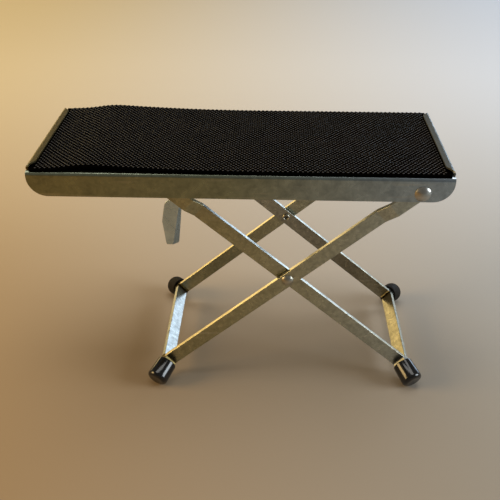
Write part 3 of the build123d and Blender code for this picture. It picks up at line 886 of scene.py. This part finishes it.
@dataclass
class RubberMat:
    """Studded rubber mat with the low wave that it has crept into."""

    pitch_along: float = 3.12 * MM
    pitch_across: float = 3.8 * MM
    stud_radius: float = 1.1 * MM
    stud_height: float = 0.9 * MM
    stud_sides: int = 8
    stud_rings: int = 4
    crest_facing: float = 0.72
    edge_margin: float = 1.2 * MM
    end_margin: float = 3.7 * MM
    mat_thickness: float = 2.4 * MM
    wave_height: float = 2.95 * MM
    wave_start_inset: float = 2.5 * MM
    wave_rise: float = 36.0 * MM
    wave_fall: float = 100.0 * MM
    crest_radius: float = 80.0 * MM
    grid_step: float = 2.0 * MM

    def __post_init__(self) -> None:
        """Reads the mat's place from the frame."""
        self.low, self.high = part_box("rubber_mat")
        self.start_x = self.low.x + self.wave_start_inset
        self.crest_x = self.start_x + self.wave_rise
        self.end_x = self.crest_x + self.wave_fall

    def _flank(self, reach: float, length: float) -> float:
        """Height of one flank of the wave.

        Args:
            reach: Distance from the foot of the flank towards the crest.
            length: Length of the flank.

        Returns:
            The height above the flat mat.
        """
        turn = 2 * math.atan(self.wave_height / length)
        foot_radius = length / math.sin(turn) - self.crest_radius
        if reach <= foot_radius * math.sin(turn):
            return foot_radius - math.sqrt(foot_radius**2 - reach**2)
        left = length - reach
        return self.wave_height - self.crest_radius + math.sqrt(self.crest_radius**2 - left**2)

    def rise(self, x: float) -> float:
        """Height of the wave at a place along the footplate.

        Args:
            x: The place, in metres.

        Returns:
            The height above the flat mat.
        """
        if x <= self.start_x or x >= self.end_x:
            return 0.0
        if x <= self.crest_x:
            return self._flank(x - self.start_x, self.wave_rise)
        return self._flank(self.end_x - x, self.wave_fall)

    def _add_sheet(self, shape: Shape) -> None:
        """Adds the plain sheet of the mat.

        Args:
            shape: The bmesh of the mat.
        """
        size = self.high - self.low
        thickness = self.mat_thickness - self.stud_height
        made = bmesh.ops.create_cube(shape, size=1.0)["verts"]
        bmesh.ops.scale(shape, vec=(size.x, size.y, thickness), verts=made)
        middle = (self.low + self.high) / 2
        lift = Vector((middle.x, middle.y, self.low.z + thickness / 2))
        bmesh.ops.translate(shape, vec=lift, verts=made)
        cuts = int(size.x / self.grid_step)
        for step in range(1, cuts):
            bmesh.ops.bisect_plane(
                shape,
                geom=shape.verts[:] + shape.edges[:] + shape.faces[:],
                plane_co=(self.low.x + size.x * step / cuts, 0, 0),
                plane_no=(1, 0, 0),
            )

    def _stud_pair(self, columns: int, rows: int) -> bpy.types.Mesh:
        """Makes the first two studs of the field, in its low corner.

        Args:
            columns: Number of stud columns.
            rows: Number of stud rows.

        Returns:
            A mesh of the two studs.
        """
        top = self.low.z + self.mat_thickness - self.stud_height
        span_x = (columns - 0.5) * self.pitch_along
        span_y = (rows - 0.5) * self.pitch_across
        pair = bmesh.new()
        for stagger in (0.0, 0.5):
            stud = bmesh.ops.create_uvsphere(
                pair, u_segments=self.stud_sides, v_segments=self.stud_rings, radius=self.stud_radius
            )["verts"]
            under = [vert for vert in stud if vert.co.z < -self.stud_radius / 2]
            bmesh.ops.delete(pair, geom=under, context="VERTS")
            stud = [vert for vert in stud if vert.is_valid]
            bmesh.ops.scale(pair, vec=(1, 1, self.stud_height / self.stud_radius), verts=stud)
            along = stagger * self.pitch_along - span_x / 2
            across = stagger * self.pitch_across - span_y / 2
            bmesh.ops.translate(pair, vec=Vector((along, across, top)), verts=stud)
        pair.normal_update()
        # Upward-facing stud faces take the crest finish: a painted highlight on the stud tops.
        for face in pair.faces:
            if face.normal.z > self.crest_facing:
                face.material_index = Slot.ACCENT
        mesh = bpy.data.meshes.new("stud_pair")
        pair.to_mesh(mesh)
        pair.free()
        return mesh

    def _stud_field(self) -> bpy.types.Mesh:
        """Makes the staggered studs by repeating a pair of them.

        Returns:
            A mesh of all studs on the flat mat.
        """
        room_x = self.high.x - self.low.x - 2 * self.end_margin
        room_y = self.high.y - self.low.y - 2 * self.edge_margin
        columns = int(room_x / self.pitch_along + 0.5)
        rows = int(room_y / self.pitch_across + 0.5)
        field = bpy.data.objects.new("stud_field", self._stud_pair(columns, rows))
        bpy.context.collection.objects.link(field)
        steps = ((self.pitch_along, 0, 0), columns), ((0, self.pitch_across, 0), rows)
        for step, count in steps:
            repeat = field.modifiers.new("repeat", "ARRAY")
            repeat.use_relative_offset = False
            repeat.use_constant_offset = True
            repeat.constant_offset_displace = step
            repeat.count = count
        graph = bpy.context.evaluated_depsgraph_get()
        made = bpy.data.meshes.new_from_object(field.evaluated_get(graph))
        bpy.data.objects.remove(field)
        return made

    def build(self, finishes: Finishes) -> None:
        """Builds the mat and lays it on the footplate.

        Args:
            finishes: The footrest's finishes.
        """
        shape = bmesh.new()
        self._add_sheet(shape)
        shape.from_mesh(self._stud_field())
        for vert in shape.verts:
            vert.co.z += self.rise(vert.co.x)
        piece = finish_object("studded_mat", shape, finishes.mat)
        piece.data.materials.append(finishes.stud)
        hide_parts("rubber_mat")
        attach(piece, Body.FOOTPLATE.value)
        log.info("built %s", piece.name)


@dataclass
class FootCaps:
    """Pair of rubber caps on the ears of one leg."""

    node: str
    body: Body
    leg_sign: int
    ear_angle: float = math.radians(55)
    rim_radius: float = 7.2 * MM
    base_radius: float = 7.7 * MM
    base_round: float = 2.7 * MM
    rim_round: float = 0.7 * MM
    bore_radius: float = 5.9 * MM
    bore_depth: float = 1.1 * MM
    lip_width: float = 0.2 * MM
    base_dish: float = 0.02 * MM
    rim_steps: int = 4
    base_steps: int = 6
    steps: int = 40
    open_end_facing: float = -0.8

    def _axis(self, side: Side) -> Vector:
        """Direction from a cap's open end to its base.

        Args:
            side: The cap's side of the footrest.

        Returns:
            The unit direction.
        """
        down = Vector((self.leg_sign * math.cos(LEG_ANGLE), 0, -math.sin(LEG_ANGLE)))
        out = Vector((0, side.value, 0))
        return (down * math.cos(self.ear_angle) + out * math.sin(self.ear_angle)).normalized()

    def _place(self, side: Side) -> tuple[Matrix, float]:
        """Finds a cap in the frame.

        Args:
            side: The cap's side of the footrest.

        Returns:
            The matrix that puts a cap on +Z from its open end there, and the cap's length.
        """
        turn = self._axis(side).to_track_quat("Z", "Y").to_matrix()
        low, high = corners([turn.transposed() @ point for point in side_points(self.node, side)])
        start = turn @ Vector(((low.x + high.x) / 2, (low.y + high.y) / 2, low.z))
        return Matrix.Translation(start) @ turn.to_4x4(), high.z - low.z

    def _profile(self, length: float) -> Outline:
        """Outline of a cap from the middle of its open end to the middle of its base.

        Args:
            length: Length of the cap.

        Returns:
            Radius and height of each point.
        """
        bore = [(0.0, self.bore_depth), (self.bore_radius - self.rim_round, self.bore_depth)]
        lip = [(self.bore_radius - self.lip_width, self.lip_width), (self.bore_radius, 0.0)]
        rim_centre = (self.rim_radius - self.rim_round, self.rim_round)
        rim = arc_points(rim_centre, self.rim_round, -90, 0, self.rim_steps)
        base_centre = (self.base_radius - self.base_round, length - self.base_round)
        base = arc_points(base_centre, self.base_round, 0, 90, self.base_steps)
        floor_side = [(self.base_radius / 2, length - self.base_dish), (0.0, length)]
        return bore + lip + rim + base + floor_side

    def _dull_open_ends_and_far_caps(self, piece: Piece) -> None:
        """Gives the open ends a dull, lighter brown finish, and the far cap as a whole the same finish as a
        painted reflection of the pale floor behind it.

        Args:
            piece: The caps' object.
        """
        for face in piece.data.polygons:
            side = Side.NEAR if face.center.y < 0 else Side.FAR
            if side is Side.FAR or face.normal.dot(self._axis(side)) < self.open_end_facing:
                face.material_index = Slot.ACCENT

    def build(self, finishes: Finishes) -> None:
        """Builds both caps and puts them on the leg.

        Args:
            finishes: The footrest's finishes.
        """
        shape = bmesh.new()
        for side in Side:
            matrix, length = self._place(side)
            made = spun(shape, self._profile(length), self.steps)
            bmesh.ops.transform(shape, matrix=matrix, verts=made)
        piece = finish_object(self.node.replace("foot_caps", "rubber_caps"), shape, finishes.cap)
        piece.data.materials.append(finishes.cap_rim)
        self._dull_open_ends_and_far_caps(piece)
        keep_sharp(piece)
        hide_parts(self.node)
        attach(piece, self.body.value)
        log.info("built %s", piece.name)


@dataclass
class Rivets:
    """Rivet on each side of the footrest, with a smooth dome outside and a formed tail inside."""

    node: str
    name: str
    body: Body
    head_radius: float
    head_height: float
    crown: float
    shank_radius: float
    tail_radius: float
    tail_height: float
    bore_radius: float = 0.0
    bore_depth: float = 0.0
    edge_height: float = 0.25 * MM
    dome_steps: int = 8
    mouth_steps: int = 4
    steps: int = 48

    def _profile(self, length: float) -> Outline:
        """Outline of a rivet from the middle of its dome to the middle of its tail.

        Args:
            length: Overall length of the rivet.

        Returns:
            Radius and height of each point.
        """
        dome_height = self.head_height + self.crown - self.edge_height
        ball = (self.head_radius**2 + dome_height**2) / (2 * dome_height)
        slope = math.degrees(math.asin(self.head_radius / ball))
        centre = (0.0, ball - self.crown)
        dome = arc_points(centre, ball, -90, slope - 90, self.dome_steps)
        head = dome + [(self.head_radius, self.head_height), (self.shank_radius, self.head_height)]
        tail_start = length - self.tail_height
        half = self.tail_height / 2
        roll_centre = (self.tail_radius - half, tail_start + half)
        roll = arc_points(roll_centre, half, -90, 90, self.dome_steps)
        shank = [(self.shank_radius, tail_start)]
        if self.bore_radius == 0.0:
            return head + shank + roll + [(0.0, length)]
        lip = self.tail_radius - half - self.bore_radius
        mouth_centre = (self.bore_radius + lip, length - lip)
        mouth = arc_points(mouth_centre, lip, 90, 180, self.mouth_steps)
        floor = [(self.bore_radius, length - self.bore_depth), (0.0, length - self.bore_depth)]
        return head + shank + roll + mouth + floor

    def build(self, finishes: Finishes) -> None:
        """Builds both rivets in the places of their plain solids.

        Args:
            finishes: The footrest's finishes.
        """
        shape = bmesh.new()
        for side in Side:
            low, high = corners(side_points(self.node, side))
            outer = high.y if side is Side.FAR else low.y
            start = Vector(((low.x + high.x) / 2, outer, (low.z + high.z) / 2))
            inward = Vector((0, -side.value, 0)).to_track_quat("Z", "X").to_matrix().to_4x4()
            made = spun(shape, self._profile(high.y - low.y), self.steps)
            bmesh.ops.transform(shape, matrix=Matrix.Translation(start) @ inward, verts=made)
        piece = finish_object(self.name, shape, finishes.dome)
        keep_sharp(piece)
        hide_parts(self.node)
        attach(piece, self.body.value)
        log.info("built %s", piece.name)


@dataclass
class Footplate:
    """Pressed tray, its guide rails and their fastenings."""

    sheet_round: float = 0.35 * MM
    fold_start: float = 129.5 * MM
    fold_low: float = 165.0 * MM
    rail_nodes: tuple[str, ...] = ("guide_rail_near", "guide_rail_far")
    hardware_nodes: tuple[str, ...] = ("rail_rivets", "pivot_washers")

    def _finish_folds(self, tray: Piece, finishes: Finishes) -> None:
        """Gives the folded ends of the tray a darker, duller finish.

        Args:
            tray: The tray's object.
            finishes: The footrest's finishes.
        """
        tray.data.materials.append(finishes.darker_plating)
        for face in tray.data.polygons:
            if abs(face.center.x) > self.fold_start and face.center.z > self.fold_low:
                face.material_index = Slot.ACCENT

    def build(self, finishes: Finishes) -> None:
        """Dresses the footplate, sets its pivot rivets and lays the mat on it.

        Args:
            finishes: The footrest's finishes.
        """
        tray = dress("footplate_tray", finishes.sheet)
        self._finish_folds(tray, finishes)
        soften_edges(tray, self.sheet_round)
        for node in self.rail_nodes:
            soften_edges(dress(node, finishes.sheet), self.sheet_round)
        for node in self.hardware_nodes:
            smooth(dress(node, finishes.bright))
        Rivets(
            node="pivot_rivets",
            name="domed_pivot_rivets",
            body=Body.FOOTPLATE,
            head_radius=5.2 * MM,
            head_height=1.7 * MM,
            crown=0.6 * MM,
            shank_radius=2.5 * MM,
            tail_radius=4.2 * MM,
            tail_height=1.1 * MM,
        ).build(finishes)
        RubberMat().build(finishes)


@dataclass
class Leg:
    """One U-shaped leg with its fastenings and foot caps."""

    leg_node: str
    leg_sign: int
    hardware_nodes: tuple[str, ...]
    caps: FootCaps
    strip_round: float = 0.3 * MM
    round_segments: int = 3
    edge_facing: float = 0.99
    arm_inner_y: float = 44.0 * MM
    ear_top: float = 17.0 * MM

    def _finish_edges(self, piece: Piece, finishes: Finishes) -> None:
        """Gives the arms' narrow sides a paler finish as a painted highlight, and the cross strip and the
        ears their own finishes.

        Args:
            piece: The leg's object.
            finishes: The footrest's finishes.
        """
        for material in (finishes.strip_edge_highlight, finishes.cross_strip, finishes.darker_plating):
            piece.data.materials.append(material)
        across = Vector((math.sin(LEG_ANGLE), 0, self.leg_sign * math.cos(LEG_ANGLE)))
        for face in piece.data.polygons:
            if abs(face.center.y) <= self.arm_inner_y:
                face.material_index = Slot.CROSS_STRIP
            elif face.center.z < self.ear_top:
                face.material_index = Slot.EAR
            # Narrow sides of the arms: painted highlight along the strip edges.
            elif abs(face.normal.dot(across)) > self.edge_facing:
                face.material_index = Slot.ACCENT

    def build(self, finishes: Finishes) -> None:
        """Dresses the leg and its fastenings and builds its caps.

        Args:
            finishes: The footrest's finishes.
        """
        leg = dress(self.leg_node, finishes.strip)
        self._finish_edges(leg, finishes)
        soften_edges(leg, self.strip_round, self.round_segments)
        for node in self.hardware_nodes:
            smooth(dress(node, finishes.bright))
        self.caps.build(finishes)


@dataclass
class Carriage:
    """Slide shoes, release lever and the leaf spring between them."""

    shoe_round: float = 0.3 * MM
    lever_round: float = 0.45 * MM

    def build(self, finishes: Finishes) -> None:
        """Dresses the carriage.

        Args:
            finishes: The footrest's finishes.
        """
        for node in ("slide_shoe_near", "slide_shoe_far"):
            soften_edges(dress(node, finishes.plastic), self.shoe_round)
        smooth(dress("leaf_spring", finishes.spring))
        smooth(dress("leaf_spring_rivet", finishes.bright))
        soften_edges(dress("release_lever", finishes.lever), self.lever_round)


@dataclass(frozen=True)
class SoftLamp:
    """Soft lamp that points at the footrest."""

    name: str
    place: Place
    width: float
    height: float
    power: float
    colour: Colour
    aim: Place = (0.0, 0.0, 0.08)

    def build(self) -> None:
        """Hangs the lamp."""
        data = bpy.data.lights.new(self.name, "AREA")
        data.shape = "RECTANGLE"
        data.size = self.width
        data.size_y = self.height
        data.energy = self.power
        data.color = self.colour
        lamp = bpy.data.objects.new(self.name, data)
        bpy.context.collection.objects.link(lamp)
        lamp.location = self.place
        toward = Vector(self.aim) - Vector(self.place)
        lamp.rotation_mode = "QUATERNION"
        lamp.rotation_quaternion = toward.to_track_quat("-Z", "Y")
        lamp.visible_camera = False


@dataclass
class Studio:
    """Floor, soft lights and the camera."""

    floor_size: float = 14.0
    floor_cells: int = 4
    focal_pixels: float = 756.06
    camera_place: Place = (19.449 * MM, -481.183 * MM, 373.048 * MM)
    camera_yaw: float = -0.02923
    camera_pitch: float = 0.54559
    camera_roll: float = 0.00282
    sensor_width: float = 36.0
    room_colour: Colour = (0.86, 0.83, 0.74)
    room_strength: float = 0.17
    lamps: tuple[SoftLamp, ...] = (
        SoftLamp("ceiling_panel", (0.0, 0.3, 2.0), 1.6, 1.6, 25.0, (1.0, 0.98, 0.94)),
        SoftLamp("back_window", (1.25, 1.55, 0.28), 1.0, 0.5, 6.4, (0.62, 0.79, 1.0)),
        SoftLamp("back_lamp", (-1.1, 1.6, 0.28), 1.0, 0.5, 3.9, (1.0, 0.74, 0.3)),
        SoftLamp("side_window", (1.55, -0.3, 0.6), 0.8, 0.8, 20.0, (0.85, 0.93, 1.0)),
        SoftLamp("side_lamp", (-1.55, -0.3, 0.6), 0.8, 0.8, 20.0, (1.0, 0.68, 0.28)),
    )

    def _floor(self, finishes: Finishes) -> None:
        """Lays the floor.

        Args:
            finishes: The footrest's finishes.
        """
        shape = bmesh.new()
        cells = self.floor_cells
        bmesh.ops.create_grid(shape, x_segments=cells, y_segments=cells, size=self.floor_size / 2)
        floor = finish_object("paper_floor", shape, finishes.floor)

    def _room(self) -> None:
        """Sets the even light of the room."""
        world = bpy.data.worlds.new("room")
        world.use_nodes = True
        background = world.node_tree.nodes["Background"]
        feed(background, Color=(*self.room_colour, 1.0), Strength=self.room_strength)
        bpy.context.scene.world = world

    def _camera(self) -> None:
        """Sets the camera at the photograph's viewing angle."""
        data = bpy.data.cameras.new("view")
        data.sensor_width = self.sensor_width
        data.lens = self.focal_pixels * self.sensor_width / IMAGE_WIDTH
        camera = bpy.data.objects.new("view", data)
        bpy.context.collection.objects.link(camera)
        level = math.cos(self.camera_pitch)
        forward = Vector((
            math.sin(self.camera_yaw) * level,
            math.cos(self.camera_yaw) * level,
            -math.sin(self.camera_pitch),
        ))
        right = Vector((math.cos(self.camera_yaw), -math.sin(self.camera_yaw), 0))
        up = right.cross(forward)
        roll = self.camera_roll
        turned_right = right * math.cos(roll) + up * math.sin(roll)
        turned_up = up * math.cos(roll) - right * math.sin(roll)
        turn = Matrix((turned_right, turned_up, -forward)).transposed()
        camera.matrix_world = Matrix.Translation(self.camera_place) @ turn.to_4x4()
        bpy.context.scene.camera = camera

    def build(self, finishes: Finishes) -> None:
        """Sets up the floor, the lights and the camera.

        Args:
            finishes: The footrest's finishes.
        """
        self._floor(finishes)
        self._room()
        for lamp in self.lamps:
            lamp.build()
        self._camera()
        bpy.context.scene.view_settings.view_transform = "Standard"


def build_legs(finishes: Finishes) -> None:
    """Builds the two legs and the rivets at their crossing.

    Args:
        finishes: The footrest's finishes.
    """
    Leg(
        leg_node="outer_leg",
        leg_sign=-1,
        hardware_nodes=("crossing_washers",),
        caps=FootCaps("foot_caps_outer", Body.OUTER_LEGS, -1),
    ).build(finishes)
    Rivets(
        node="crossing_rivets",
        name="rolled_crossing_rivets",
        body=Body.OUTER_LEGS,
        head_radius=4.0 * MM,
        head_height=1.9 * MM,
        crown=0.2 * MM,
        shank_radius=2.0 * MM,
        tail_radius=2.9 * MM,
        tail_height=1.2 * MM,
        bore_radius=1.3 * MM,
        bore_depth=3.0 * MM,
    ).build(finishes)
    Leg(
        leg_node="inner_leg",
        leg_sign=1,
        hardware_nodes=("cross_rod", "rod_push_nuts", "rod_spacers_short", "rod_spacer_long"),
        caps=FootCaps("foot_caps_inner", Body.INNER_LEGS, 1),
    ).build(finishes)


def main() -> None:
    """Builds the footrest's looks around the frame."""
    logging.basicConfig(level=logging.INFO, format="%(message)s")
    finishes = Finishes()
    Footplate().build(finishes)
    build_legs(finishes)
    Carriage().build(finishes)
    Studio().build(finishes)


if __name__ == "__main__":
    main()
